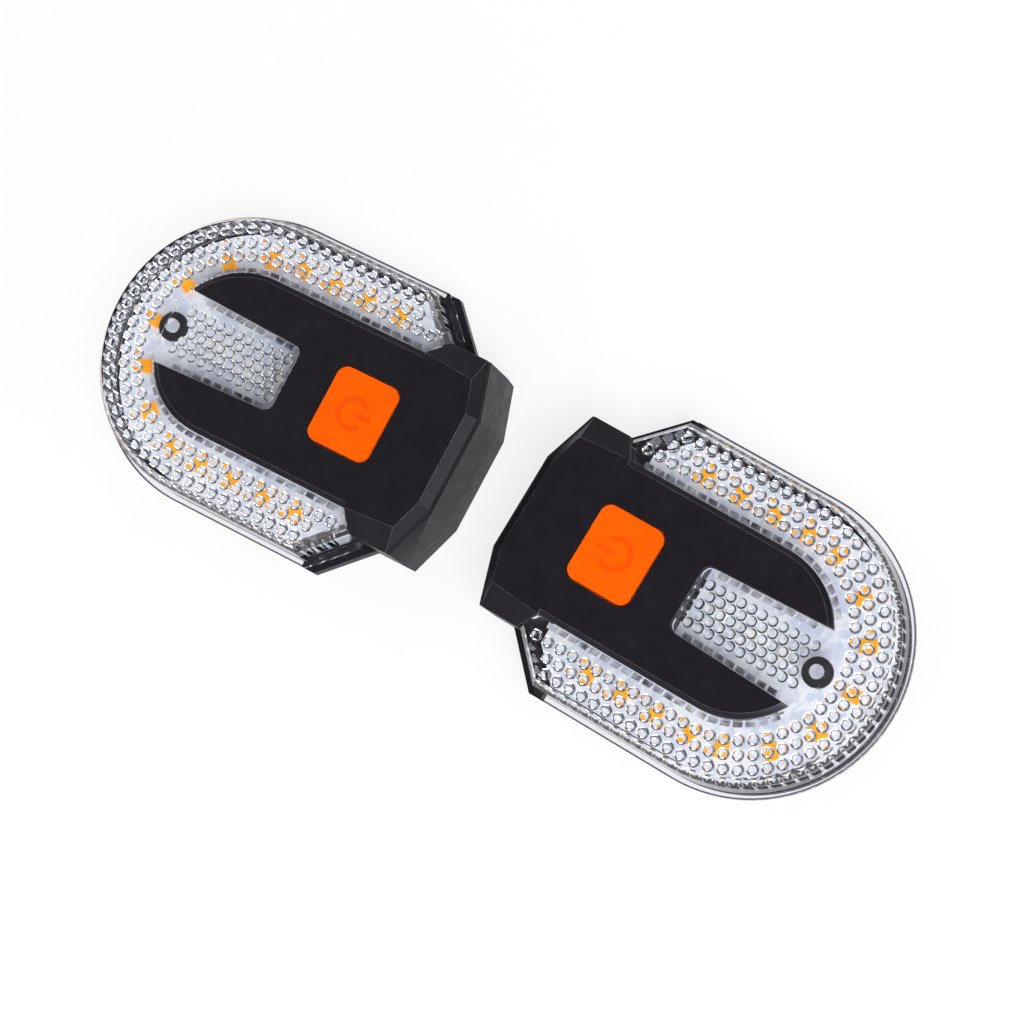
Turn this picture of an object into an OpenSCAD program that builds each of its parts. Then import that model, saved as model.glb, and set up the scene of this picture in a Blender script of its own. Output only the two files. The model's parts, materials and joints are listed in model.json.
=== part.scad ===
// Pair of bicycle turn signal lights, lying base end to base end.
// Each light is drawn about the centre of its lens arc: +X along the light away from its base,
// +Z up out of the lens, the back face at Z = 0. Sizes are in millimetres.

/* [Pair] */
// Gap between the two base ends
pair_gap = 16.2; // [4:0.2:40]
// Turn of each light about the middle of its base end, in degrees
lay_angle = 1.7; // [0:0.1:6]

/* [Body] */
// Height from the back face to the front panel
body_h = 22; // [20:0.5:28]
// Radius of the rear tray round the arc
tray_r = 32.9; // [31:0.1:38]
// Arc centre to the base end
base_reach = 55.8; // [55:0.1:66]
// Base end to the start of the slanted shoulders
shoulder_run = 20.2; // [19.6:0.1:21]
// Length of the shoulders' full width
shoulder_l = 3; // [1:0.1:5]
// Width of the base block
base_w = 45.4; // [44:0.2:50]
// Width of the straight base end
base_end_w = 21.6; // [16:0.2:26]
// Length of the angled base corners
base_corner = 4; // [2:0.2:6]
// Base end to the front of the base block's sides
block_l = 13.5; // [13:0.1:14.5]
// Height of the bevels round the base
bevel_h = 2.3; // [1.5:0.1:3]
// Width of the bevel on the base end and corners
bevel_end = 2.5; // [1.5:0.1:3.5]
// Slant of the side bevels' inner line, in degrees
crease_turn = 4.6; // [0:0.2:6]
// Parting groove between the front and rear housings
groove_h = 0.8; // [0.5:0.1:1.2]
// Set-back of the front housing behind the rear one at the base end
reveal = 0.5; // [0.3:0.1:0.8]
// Height of the tapered foot of the base block
foot_h = 6.5; // [3:0.5:9]
// Draw-in of the tapered foot
foot_in = 0.3; // [0.1:0.1:1.2]
// Wall of the rear housing
wall = 2; // [1.6:0.1:2.4]
// Gap between the front housing's lip and the rear wall
lip_gap = 0.15; // [0.1:0.05:0.25]
// Thickness of the front housing's lip
lip_t = 1.2; // [0.8:0.1:1.4]
// Depth of the front housing's lip below the parting line
lip_h = 1.5; // [1:0.1:2]

/* [Front panel] */
// Width of the front panel
panel_w = 36.6; // [35:0.2:38]
// Base end to where the panel widens into the base block
panel_run = 16.7; // [16:0.1:17.6]
// Width of the slope round the panel's edge
edge_w = 1.1; // [0.6:0.1:1.4]
// Height of the slope round the panel's edge
edge_h = 0.5; // [0.3:0.1:0.8]
// Thickness of the front panel
panel_t = 2; // [1.6:0.1:2.4]
// Thickness of the panel's skirt
skirt_t = 1.4; // [1:0.1:1.8]
// Arc centre back to the centre of the panel's own arc
panel_back = 0.5; // [0.2:0.1:1.5]
// Arc centre back to the window's base end
window_x = 13.9; // [12:0.1:15]
// Window width at its base end
window_w = 15.4; // [14:0.1:17]
// Window width at the prong tips
window_w_tip = 17.6; // [16.4:0.1:18.4]
// Corner radius of the window
window_r = 2; // [1.9:0.1:3]

/* [Rear tray] */
// Underside of the tray above the back face
tray_z = 8.4; // [8.2:0.1:9.6]
// Thickness of the tray floor
tray_t = 1.6; // [1.2:0.1:2]
// Lens edge to the tray's edge along the sides
tray_in = 1.3; // [1:0.1:1.6]
// Width of the tray's rim
rim_w = 1.8; // [1.6:0.1:2]
// Width of the pod under the panel
pod_w = 34; // [33.5:0.2:35]
// Arc centre to the centre of the pod's round end
pod_x = 3; // [2.4:0.2:5]
// Chamfer round the pod's back
pod_chamfer = 1; // [0.5:0.1:1.5]

/* [Lens] */
// Drop of the lens below the front panel
lens_drop = 0.4; // [0.1:0.1:0.8]
// Thickness of the lens top
lens_t = 2.4; // [2.2:0.1:2.8]
// Thickness of the lens walls
lens_wall = 1.6; // [1.4:0.1:1.8]
// Tray edge to the edge of the flat lens top
lens_in = 3.1; // [3:0.1:3.4]
// Shoulder edge to the edge of the flat lens top at the arm ends
lens_end_in = 4.5; // [4.2:0.1:5.5]
// Width of the sloped lens edge
slope_w = 1.5; // [1.2:0.1:1.7]
// Height of the sloped lens edge
slope_h = 2.8; // [2:0.1:3.6]
// Draft of the lens wall below the slope
draft_w = 0.3; // [0.1:0.1:0.4]
// Reach of the lens flange past the wall
flange_w = 1.3; // [0.8:0.1:1.3]
// Thickness of the lens flange
flange_t = 1.2; // [0.8:0.1:1.6]
// Gap between the lens and the housings
lens_gap = 0.25; // [0.2:0.05:0.4]
// Width of the lens lip that tucks under the front panel
tuck_w = 1; // [0.6:0.1:1.2]
// Gap between that lip and the panel
tuck_gap = 0.1; // [0.05:0.05:0.2]
// Radius of the round optics under the lens top
bump_r = 1.45; // [1.35:0.05:1.6]
// Diameter of the optics round the lens where they meet its top
bump_d = 2.6; // [2.2:0.1:2.6]
// Diameter of the optics in the window where they meet the lens top
window_bump_d = 2.3; // [2:0.1:2.4]
// Spacing of the optics along each row
bump_pitch = 3; // [2.8:0.1:4]
// Spacing of the rows
row_pitch = 3; // [2.8:0.1:3.2]
// Number of rows round the lens
bump_rows = 3; // [2:1:3]
// Lens top's edge to the outermost row
row_in = 1.7; // [1.5:0.1:2]
// Spacing of the optics in the window
window_pitch = 2.5; // [2.4:0.1:3.2]
// Spacing of the flutes and of the pads beside the panel
pad_pitch = 2.6; // [2.5:0.1:3]
// Length of the pads beside the panel
pad_l = 1.9; // [1.6:0.1:2.1]
// Width of the pads beside the panel
pad_w = 1.2; // [0.8:0.1:1.3]
// Depth of the prism pads on their side next to the panel
pad_h = 1.4; // [1.2:0.1:1.8]
// Radius of the flutes inside the lens wall
flute_r = 1.6; // [1.4:0.1:1.8]
// Depth of the flutes in the wall
flute_in = 0.5; // [0.3:0.1:0.6]
// Height of the flutes' feet above the flange
flute_lift = 0.6; // [0.4:0.1:1]
// Width of the rib between the prong tips
rib_w = 0.6; // [0.4:0.1:0.8]
// Height of that rib
rib_h = 0.6; // [0.4:0.1:0.7]
// Thickness of the lens seal
seal_t = 0.4; // [0.3:0.1:0.5]
// Width of the lens seal
seal_w = 0.7; // [0.5:0.1:0.8]
// Set-back of the lens seal from the tray's edge
seal_in = 0.15; // [0.1:0.05:0.2]
// Width of the housing seal
gasket_w = 1.25; // [1:0.05:1.3]
// Set-back of the housing seal from the base block's sides
gasket_in = 0.15; // [0.1:0.05:0.3]

/* [Lens pin] */
// Arc centre to the lens pin in the window
pin_x = 16.6; // [16:0.1:17]
// Diameter of the lens pin, which carries the ring
pin_d = 3; // [2.6:0.1:3.4]
// Run of the pin below the ring
pin_run = 0.8; // [0.4:0.1:1.2]
// Outer diameter of the black ring on the pin
ring_d = 6.4; // [6:0.1:7]
// Height of the ring
ring_h = 1.2; // [1:0.1:2.4]
// Drop of the ring below the lens top's underside
ring_drop = 0.8; // [0.7:0.1:1.2]
// Gap between the pin and its ring
ring_gap = 0.05; // [0.02:0.01:0.1]

/* [Button] */
// Base end to the button's centre
button_in = 24.6; // [24.4:0.1:25.5]
// Length of the button along the light
button_l = 15; // [12:0.1:16]
// Width of the button
button_w = 17.3; // [14:0.1:18]
// Corner radius of the button
button_r = 2.4; // [1.5:0.1:3]
// Gap round the button
button_gap = 0.3; // [0.2:0.05:0.5]
// Height that the button stands proud
button_proud = 0.5; // [0.5:0.1:1]
// Press of the button
button_travel = 0.4; // [0.3:0.1:0.5]
// Rim under the panel that keeps the button in
button_rim = 1.2; // [0.8:0.1:1.6]
// Thickness of that rim
button_rim_t = 1; // [0.8:0.1:1.2]
// Gap between that rim and the panel
rim_gap = 0.02; // [0.01:0.01:0.05]
// Stem under the button
stem_d = 4; // [3.4:0.1:5]
// Length of that stem
stem_l = 1; // [0.6:0.1:1.4]
// Side of the square switch
switch_w = 6; // [5:0.1:7]
// Height of the switch body
switch_h = 4.2; // [3:0.1:4.6]
// Diameter of the switch plunger
plunger_d = 3.4; // [2.6:0.1:4]
// Plunger length inside the switch body
plunger_in = 1; // [0.6:0.1:1.4]
// Gap round the plunger
plunger_gap = 0.1; // [0.05:0.05:0.2]

/* [Board and lamps] */
// Thickness of the circuit board
board_t = 1.2; // [1:0.1:1.4]
// Gap between the board's edge and the walls
board_gap = 0.4; // [0.3:0.05:0.5]
// Half width of the path of amber lamps
lamp_path = 23.6; // [23:0.1:24.2]
// Lamp spacing along the straight sides
lamp_pitch = 8.3; // [7:0.1:8.4]
// Arc centre back to the first lamp of each side
lamp_x = 1.2; // [1:0.1:3]
// Lamps on each side
lamp_side_n = 4; // [2:1:4]
// Angle between lamps round the arc
lamp_step = 25; // [20:0.5:26]
// Lamps each side of the tip
lamp_arc_n = 3; // [1:1:3]
// Lamp length along the path
lamp_l = 2.8; // [2:0.1:3.2]
// Lamp width
lamp_w = 3.5; // [2.8:0.1:4]
// Lamp height
lamp_h = 0.8; // [0.6:0.1:1.2]
// Spacing of the white lamps in the window
white_pitch = 8; // [6:0.1:8.5]
// Middle white lamp behind the arc centre
white_x = 0.8; // [0.5:0.1:2]
// Length of a resistor
resistor_l = 2; // [1.6:0.1:2.4]
// Width of a resistor
resistor_w = 1.25; // [0.8:0.05:1.6]
// Height of a resistor
resistor_h = 0.5; // [0.3:0.05:0.7]
// Side of the square controller chip
chip_w = 4.6; // [3:0.1:5]
// Gap between the switch and the controller chip
chip_gap = 1; // [0.6:0.1:2]
// Height of the controller chip
chip_h = 1; // [0.8:0.1:1.6]
// Length of the charger chip
charger_l = 2.9; // [2.4:0.1:3.4]
// Width of the charger chip
charger_w = 1.6; // [1.2:0.1:2]
// Height of the charger chip
charger_h = 1.1; // [0.8:0.1:1.4]

/* [Battery] */
// Battery length
battery_l = 27; // [20:0.5:28]
// Battery width
battery_w = 18; // [12:0.5:18.6]
// Battery height
battery_h = 6; // [4:0.1:6.4]
// Corner radius of the battery
battery_r = 1.6; // [1:0.1:2]
// Gap between the battery and what lies at its ends
battery_gap = 0.6; // [0.4:0.1:1]
// Thickness of the foam pad under the battery
pad_t = 0.8; // [0.5:0.1:1.2]
// Diameter of the battery leads
lead_d = 1.2; // [0.8:0.1:1.4]
// Spacing of the battery leads
lead_gap = 6; // [4:0.2:7]

/* [Charging port] */
// Base end to the charging port
port_in = 8; // [7.6:0.1:8.4]
// Width of the port's metal shell
port_w = 9; // [8.6:0.1:9.4]
// Thickness of the port's shell
port_l = 3.2; // [3:0.1:3.6]
// Metal thickness of the shell
port_t = 0.3; // [0.2:0.05:0.4]
// Width of the port's tongue
tongue_w = 6.7; // [6:0.1:7]
// Thickness of the port's tongue
tongue_l = 0.7; // [0.6:0.05:0.9]
// Thickness of the shell's closed end
shell_end = 1; // [0.6:0.1:1.2]
// Set-back of the tongue in the shell's mouth
tongue_in = 1; // [0.6:0.1:1.4]
// Gap round the shell in the rear housing
port_gap = 0.3; // [0.2:0.05:0.5]
// Floor thickness round the port
port_floor = 4; // [3.6:0.1:4.6]
// Width of the port cover
cover_w = 14; // [12:0.1:14]
// Length of the port cover from its hinge line
cover_l = 7.4; // [7.2:0.1:7.6]
// Thickness of the port cover
cover_t = 1.4; // [1.2:0.1:1.5]
// Gap round the port cover
cover_gap = 0.3; // [0.25:0.05:0.4]
// Depth of the cover below the back face
cover_sink = 0.2; // [0.1:0.05:0.3]
// Height of the cover's plug
plug_h = 0.9; // [0.6:0.1:1]
// Gap round the plug
plug_gap = 0.6; // [0.5:0.05:0.8]
// Diameter of the cover's hinge pins
hinge_d = 0.8; // [0.7:0.05:0.9]
// Length of each hinge pin
hinge_l = 1; // [0.6:0.1:1.2]
// Running gap round the hinge pins
hinge_gap = 0.05; // [0.03:0.01:0.08]

/* [Screws and mount] */
// Shank diameter of the case screws
screw_d = 2; // [1.8:0.1:2.2]
// Length of the case screws under the head
screw_l = 15; // [12:0.5:16]
// Head diameter of the case screws
head_d = 3.8; // [3.4:0.1:4]
// Head height of the case screws
head_h = 1.4; // [1:0.1:1.5]
// Depth of the screw wells in the back
well_h = 2; // [1.8:0.1:2.4]
// Gap round the screw heads
head_gap = 0.3; // [0.2:0.05:0.4]
// Gap round the screw shanks in the rear housing
shank_gap = 0.15; // [0.1:0.05:0.2]
// Gap round the screw threads in the front housing
thread_gap = 0.02; // [0.01:0.01:0.05]
// Spare thread past the screws' ends
thread_run = 0.5; // [0.3:0.1:1]
// Wall round each screw hole
screw_wall = 1.6; // [1.4:0.1:1.8]
// Base end to the base screws
screw_in = 9.4; // [8.6:0.1:10]
// Spacing of the base screws
screw_base_w = 30; // [29:0.2:31]
// Arc centre to the prong screws
screw_prong_x = 1; // [0:0.1:1.4]
// Spacing of the prong screws
screw_prong_w = 26.8; // [26.6:0.1:27.2]
// Outer diameter of the threaded inserts
insert_d = 4.2; // [4:0.1:4.4]
// Bore of the threaded inserts
insert_bore = 2.5; // [2.4:0.05:2.6]
// Length of the threaded inserts
insert_l = 5; // [4:0.5:6]
// Gap round the threaded inserts
insert_gap = 0.02; // [0.01:0.01:0.04]
// Wall round each threaded insert
insert_wall = 1.4; // [1.2:0.1:1.6]
// Spacing of the two inserts across the light
insert_pitch = 18; // [17:0.5:19]

/* [Hidden] */
SIDES = ["left", "right"];
PIECES = [
    "front_housing", "rear_housing", "lens", "pin_ring", "lens_seal", "housing_seal", "button", "switch_body",
    "switch_plunger", "circuit_board", "amber_lamps", "white_lamps", "resistors", "controller_chip",
    "charger_chip", "battery", "battery_pad", "battery_leads", "port_shell", "port_tongue", "port_cover",
    "case_screws", "mount_inserts"
];
$fn = 64;

// Reach of cutting solids past what they cut
over = 1;
far = 200;

// Heights in the stack, from the back face up
z_floor = tray_z + tray_t;
z_board = z_floor + board_t;
z_rim = z_board - seal_t;
z_panel = body_h - panel_t;
z_bevel = body_h - bevel_h;
z_part = z_bevel - groove_h;
z_lens = body_h - lens_drop;
z_ceiling = z_lens - lens_t;
z_ring = z_ceiling - ring_drop - ring_h;
z_pin = z_ring - pin_run;
z_wall = z_lens - slope_h;
z_flange = z_board + flange_t;
z_switch = z_board + switch_h;
z_rim_top = z_panel;
z_stem = z_rim_top - button_rim_t - stem_l;
z_cover = cover_sink + cover_t/2;
z_battery = wall + pad_t;

// Plan sizes, from the arc centre
side_len = base_reach - shoulder_run;
block_x = base_reach - block_l;
panel_x = base_reach - panel_run;
button_x = base_reach - button_in;
port_x = base_reach - port_in;
screw_base_x = base_reach - screw_in;
panel_r = panel_w/2;
prong_x = sqrt(panel_r*panel_r - window_w_tip*window_w_tip/4) - panel_back;
lens_r = tray_r - lens_in;
base_half = base_w/2;
corner_x = base_reach - base_corner;
bevel_side = (base_half - panel_r)*cos(crease_turn) + (corner_x - panel_x)*sin(crease_turn);
pod_r = pod_w/2;
hinge_x = -port_x - cover_l/2;
lamp_row_x = [for (i = [0 : lamp_side_n - 1]) -lamp_x - i*lamp_pitch];
lamp_angles = [for (i = [-lamp_arc_n : lamp_arc_n]) i*lamp_step];
screw_spots = [
    for (s = [-1, 1]) [-screw_base_x, s*screw_base_w/2],
    for (s = [-1, 1]) [screw_prong_x, s*screw_prong_w/2]
];
pod_in = pod_r - wall;
battery_tip = pod_x + sqrt(pod_in*pod_in - battery_w*battery_w/4) - battery_gap;
battery_x = battery_tip - battery_l/2;
insert_od = insert_d + 2*insert_wall;
insert_x = battery_x - battery_l/2 - battery_gap - insert_od/2;
insert_spots = [for (s = [-1, 1]) [insert_x, s*insert_pitch/2]];

// How far the pair has to move for its box to be centred on the origin
low_y = -base_reach*sin(lay_angle) - tray_r;
high_y = -(base_reach - side_len)*sin(lay_angle) + tray_r*cos(lay_angle);
lay_shift = -(low_y + high_y)/2;

function unit(v) = v/norm(v);
function left_of(v) = [-v.y, v.x];

// A convex outline drawn in by d, with its corners kept sharp; the points run counter-clockwise
function inset(points, d) = [
    for (i = [0 : len(points) - 1])
        let (
            before = points[(i + len(points) - 1) % len(points)],
            after = points[(i + 1) % len(points)],
            n1 = left_of(unit(points[i] - before)),
            n2 = left_of(unit(after - points[i]))
        )
        points[i] + d*(n1 + n2)/(1 + n1*n2)
];

// Plan of the base block
block = [
    [-corner_x, -base_half], [-block_x, -base_half], [-panel_x, -panel_r], [-panel_x, panel_r],
    [-block_x, base_half], [-corner_x, base_half], [-base_reach, base_end_w/2],
    [-base_reach, -base_end_w/2]
];

module block_plan(d = 0) {
    polygon(inset(block, d));
}

// Plan of the tray, drawn in by side_in round the U and by end_in at the slanted shoulders
module tray_plan(side_in = 0, end_in = 0) {
    half = tray_r - side_in;
    shoulder = side_len + side_in - end_in*sqrt(2);
    neck = shoulder + half - base_half;
    circle(half);
    polygon([
        [0, -half], [0, half], [-shoulder, half], [-neck, base_half], [-neck, -base_half], [-shoulder, -half]
    ]);
}

// The shoulders of the tray, which reach the full width of the lens
module shoulder_plan() {
    start_x = -side_len + shoulder_l;
    intersection() {
        tray_plan();
        translate([-far, -far/2]) square([far + start_x, far]);
    }
}

// Plan of the clear window between the prongs, drawn in by d; a grown one has sharp corners
module window_plan(d = 0) {
    taper = atan2((window_w_tip - window_w)/2, window_x + prong_x);
    r = d < 0 ? 0 : window_r - d;
    end_x = -window_x + d + r;
    tip_x = panel_r + over;
    end_y = window_w/2 - d/cos(taper) - r;
    tip_y = end_y + r/cos(taper) + (tip_x + window_x)*tan(taper);
    if (r > 0) for (s = [-1, 1]) translate([end_x, s*end_y]) circle(r);
    polygon([
        [end_x - r, end_y], [end_x - r*sin(taper), end_y + r*cos(taper)], [tip_x, tip_y],
        [tip_x, -tip_y], [end_x - r*sin(taper), -end_y - r*cos(taper)], [end_x - r, -end_y]
    ]);
}

// Plan of the front panel with its two prongs, grown by d, from start_x to the prong tips
module panel_plan(d = 0, start_x = -panel_x) {
    r = panel_r + d;
    difference() {
        union() {
            translate([-panel_back, 0]) circle(r);
            translate([start_x, -r]) square([-start_x - panel_back, 2*r]);
        }
        window_plan(d);
    }
}

module rounded_plan(l, w, r) {
    square([l - 2*r, w], center = true);
    square([l, w - 2*r], center = true);
    for (sx = [-1, 1]) for (sy = [-1, 1]) translate([sx*(l/2 - r), sy*(w/2 - r)]) circle(r);
}

// Runs a profile, drawn as [distance to the left of the line, height], along the line from a to b
module along_line(a, b) {
    translate([a.x, a.y, 0])
        rotate([0, 0, atan2(b.y - a.y, b.x - a.x)])
            translate([-far/2, 0, 0])
                rotate([90, 0, 90])
                    linear_extrude(norm(b - a) + far) children();
}

// A U-shaped body: the profile [half width, height] turned round the arc and run along both sides
module u_body(profile, length) {
    rotate([0, 0, -90]) rotate_extrude(angle = 180) polygon(profile);
    rotate([90, 0, -90]) linear_extrude(length) {
        polygon(profile);
        mirror([1, 0]) polygon(profile);
    }
}

// Outside of the lens as [distance past the flat top's edge, height], from the bottom up
lens_edge = [
    [slope_w + draft_w + flange_w, z_board], [slope_w + draft_w + flange_w, z_flange],
    [slope_w + draft_w, z_flange], [slope_w, z_wall], [0, z_lens]
];
// Inside of the lens in the same terms
cavity_edge = [
    [slope_w + draft_w - lens_wall, z_board - over], [slope_w + draft_w - lens_wall, z_flange],
    [slope_w - lens_wall, z_ceiling]
];

// Slanted arm ends, drawn as the line that the edge of the flat lens top follows
end_run = side_len + tray_r - lens_end_in*sqrt(2);
function end_line(s) = [[-end_run, 0], [-end_run + tray_r, s*tray_r]];

// Solid U body with sloped edges along its sides and its slanted arm ends
module lens_form(edge) {
    top = edge[len(edge) - 1].y;
    bottom = edge[0].y;
    profile = concat([[0, bottom]], [for (p = edge) [lens_r + p.x, p.y]], [[0, top]]);
    outside = concat([for (p = edge) [p.x, p.y]], [[0, top + over], [far, top + over], [far, bottom - over]]);
    cut = concat([[edge[0].x, bottom - over]], outside);
    difference() {
        u_body(profile, side_len + tray_r);
        for (s = [-1, 1]) let (line = end_line(s))
            along_line(line[0], line[1]) scale([s, 1]) polygon(cut);
    }
}

// Centres of the round optics in row k, under the flat of the lens
function row_r(k) = lens_r - row_in - k*row_pitch;
function row_spots(k) =
    let (
        r = row_r(k),
        stagger = k % 2 == 0 ? 0.5 : 0,
        arc_n = round(PI*r/bump_pitch),
        end_gap = bump_d/2 + lens_wall - slope_w + lens_gap,
        side_n = floor((end_run - r - end_gap*sqrt(2))/bump_pitch + stagger)
    )
    concat(
        [for (j = [0 : arc_n - (stagger > 0 ? 1 : 0)])
            let (a = -90 + (j + stagger)*180/arc_n) [r*cos(a), r*sin(a)]],
        [for (i = [0 : side_n - 1]) for (s = [-1, 1]) [-(i + 1 - stagger)*bump_pitch, s*r]]
    );
function clear_of_ring(spot) = norm(spot - [pin_x, 0]) > ring_d/2 + window_bump_d/2;
function window_spots() =
    let (
        step_y = window_pitch*sin(60),
        x0 = -window_x + lens_gap + pad_w + window_bump_d/2,
        cols = floor((panel_r - x0)/window_pitch),
        rows = floor((window_w/2 - lens_gap - pad_w - window_bump_d/2)/step_y)
    )
    [
        for (j = [-rows : rows])
            for (i = [0 : cols])
                let (spot = [x0 + (i + (j % 2 == 0 ? 0 : 0.5))*window_pitch, j*step_y])
                if (clear_of_ring(spot) && norm(spot + [panel_back, 0]) < panel_r - window_bump_d/2) spot
    ];
// Places of the pads beside the panel, as [x, y, turn], for pads whose middle lies at half width r
function pad_spots(r) =
    let (
        tip_a = asin((window_w_tip/2 + pad_l)/r),
        arc_n = floor((90 - tip_a)*PI/180*r/pad_pitch),
        side_n = floor((panel_x - panel_back - pad_l)/pad_pitch),
        window_n = floor((window_x + prong_x - 2*pad_pitch)/pad_pitch),
        end_n = floor((window_w - 2*window_r)/pad_pitch),
        edge_in = lens_gap + pad_w/2,
        flare = (window_w_tip - window_w)/2/(window_x + prong_x)
    )
    concat(
        [for (i = [0 : arc_n - 1]) for (s = [-1, 1])
            let (a = s*(90 - (i + 0.5)*pad_pitch/r*180/PI)) [r*cos(a) - panel_back, r*sin(a), a + 90]],
        [for (i = [0 : side_n - 1]) for (s = [-1, 1])
            [-(i + 0.5)*pad_pitch - panel_back, s*r, s > 0 ? 180 : 0]],
        [for (i = [0 : window_n - 1]) for (s = [-1, 1])
            let (run = (i + 1.5)*pad_pitch)
            [run - window_x, s*(window_w/2 + run*flare - edge_in), s*atan(flare) + (s > 0 ? 0 : 180)]],
        [for (i = [0 : end_n - 1]) [edge_in - window_x, (i - (end_n - 1)/2)*pad_pitch, 90]]
    );
// Centres of the upright flutes on a wall whose face lies at half width r
function flute_spots(r) =
    let (
        arc_n = round(PI*r/pad_pitch),
        side_n = floor((end_run - r - lens_wall*sqrt(2) - bump_d)/pad_pitch)
    )
    concat(
        [for (j = [0 : arc_n]) let (a = -90 + j*180/arc_n) [r*cos(a), r*sin(a)]],
        [for (i = [1 : side_n]) for (s = [-1, 1]) [-i*pad_pitch, s*r]]
    );

// Height of a sphere's centre above the lens top's underside, for optics d across
function bump_sink(d) = sqrt(bump_r*bump_r - d*d/4);

module lens_optics() {
    for (k = [0 : bump_rows - 1]) for (spot = row_spots(k))
        translate([spot.x, spot.y, z_ceiling + bump_sink(bump_d)]) sphere(bump_r, $fn = 24);
    for (spot = window_spots())
        translate([spot.x, spot.y, z_ceiling + bump_sink(window_bump_d)]) sphere(bump_r, $fn = 24);
    prism = [
        [-pad_w/2, lens_t/2], [-pad_w/2, pad_w - pad_h], [pad_w/2, -pad_h], [pad_w/2, lens_t/2]
    ];
    for (pad = pad_spots(panel_r + lens_gap + pad_w/2)) translate([pad.x, pad.y, z_ceiling])
        rotate([0, 0, pad.z]) translate([-pad_l/2, 0, 0]) rotate([90, 0, 90]) linear_extrude(pad_l)
            polygon(prism);
}

// Rib under the lens top that carries the panel's arc on between the prong tips
module tip_rib() {
    r = panel_r + lens_gap;
    half_a = asin(window_w_tip/2/r);
    translate([-panel_back, 0, z_ceiling - rib_h]) rotate([0, 0, -half_a])
        rotate_extrude(angle = 2*half_a) translate([r, 0]) square([rib_w, rib_h + lens_t/2]);
}

// Upright flutes cut into the insides of the outer wall and the arm ends
module lens_flutes() {
    outer = lens_r + slope_w - lens_wall + flute_in - flute_r;
    end_x = -end_run + (lens_wall - slope_w - flute_in + flute_r)*sqrt(2);
    end_n = floor((outer - base_half)*sqrt(2)/pad_pitch);
    foot = z_flange + flute_lift;
    ends = [
        for (i = [0 : end_n - 1]) for (s = [-1, 1])
            let (y = outer - (i + 0.5)*pad_pitch/sqrt(2)) [end_x + y, s*y]
    ];
    for (spot = concat(flute_spots(outer), ends))
        translate([spot.x, spot.y, foot]) cylinder(h = z_ceiling - foot, r = flute_r, $fn = 24);
}

module lens() {
    z_tuck = z_panel - tuck_gap;
    color([0.9, 0.94, 0.97, 0.4])
        difference() {
            union() {
                difference() {
                    lens_form(lens_edge);
                    lens_flutes();
                    lens_form(cavity_edge);
                }
                lens_optics();
                tip_rib();
                translate([pin_x, 0, z_pin]) cylinder(h = z_ceiling + lens_t/2 - z_pin, d = pin_d);
            }
            translate([0, 0, z_tuck]) linear_extrude(body_h) panel_plan(lens_gap, -far/2);
            translate([0, 0, z_board - over]) linear_extrude(body_h) {
                panel_plan(-tuck_w, -far/2);
                block_plan(-lens_gap);
            }
        }
}

module pin_ring() {
    color([0.05, 0.05, 0.05])
        translate([pin_x, 0, z_ring])
            difference() {
                cylinder(h = ring_h, d = ring_d);
                translate([0, 0, -over]) cylinder(h = ring_h + 2*over, d = pin_d + 2*ring_gap);
            }
}

module lens_seal() {
    side_in = tray_in + seal_in;
    end_in = lens_end_in - slope_w - draft_w + seal_in;
    color([0.12, 0.12, 0.13])
        translate([0, 0, z_rim]) linear_extrude(seal_t)
            difference() {
                tray_plan(side_in, end_in);
                tray_plan(side_in + seal_w, end_in + seal_w);
                block_plan(-lens_gap);
            }
}

// The front panel's plate, with sloped edges round the arc and along its sides
module panel_plate() {
    profile = [
        [0, z_panel], [panel_r, z_panel], [panel_r, body_h - edge_h], [panel_r - edge_w, body_h], [0, body_h]
    ];
    difference() {
        translate([-panel_back, 0, 0]) u_body(profile, panel_x - panel_back + over);
        linear_extrude(far) window_plan();
    }
}

module front_housing() {
    lip_in = wall + lip_gap;
    skirt_in = tuck_w + lens_gap;
    color([0.13, 0.12, 0.14])
        difference() {
            union() {
                difference() {
                    translate([0, 0, z_bevel]) linear_extrude(bevel_h) block_plan();
                    for (s = [-1, 1]) bevel_cut(s);
                }
                panel_plate();
                translate([0, 0, z_board]) linear_extrude(z_panel - z_board + over/2)
                    difference() {
                        panel_plan(-skirt_in, -panel_x + lens_gap);
                        panel_plan(-skirt_in - skirt_t, -panel_x - over);
                    }
                translate([0, 0, z_part - lip_h]) linear_extrude(z_bevel - z_part + lip_h + over/2)
                    difference() {
                        block_plan(lip_in);
                        block_plan(lip_in + lip_t);
                        translate([-panel_x - lip_in - lip_t - over, -panel_r + lip_in + lip_t])
                            square([far, panel_w - 2*(lip_in + lip_t)]);
                    }
                for (spot = screw_spots) translate([spot.x, spot.y, z_board])
                    cylinder(h = z_panel - z_board + over/2, d = screw_d + 2*screw_wall);
            }
            translate([-button_x, 0, z_panel - over]) linear_extrude(panel_t + 2*over)
                rounded_plan(button_l + 2*button_gap, button_w + 2*button_gap, button_r + button_gap);
            translate([-button_x, 0, z_board + switch_h]) linear_extrude(z_panel - z_board - switch_h)
                rounded_plan(
                    button_l + 2*button_rim + 2*button_gap, button_w + 2*button_rim + 2*button_gap,
                    button_r + button_rim + button_gap
                );
            for (spot = screw_spots) translate([spot.x, spot.y, z_board - over])
                cylinder(h = screw_l + well_h + over - z_board + thread_run, d = screw_d + 2*thread_gap);
        }
}

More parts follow.
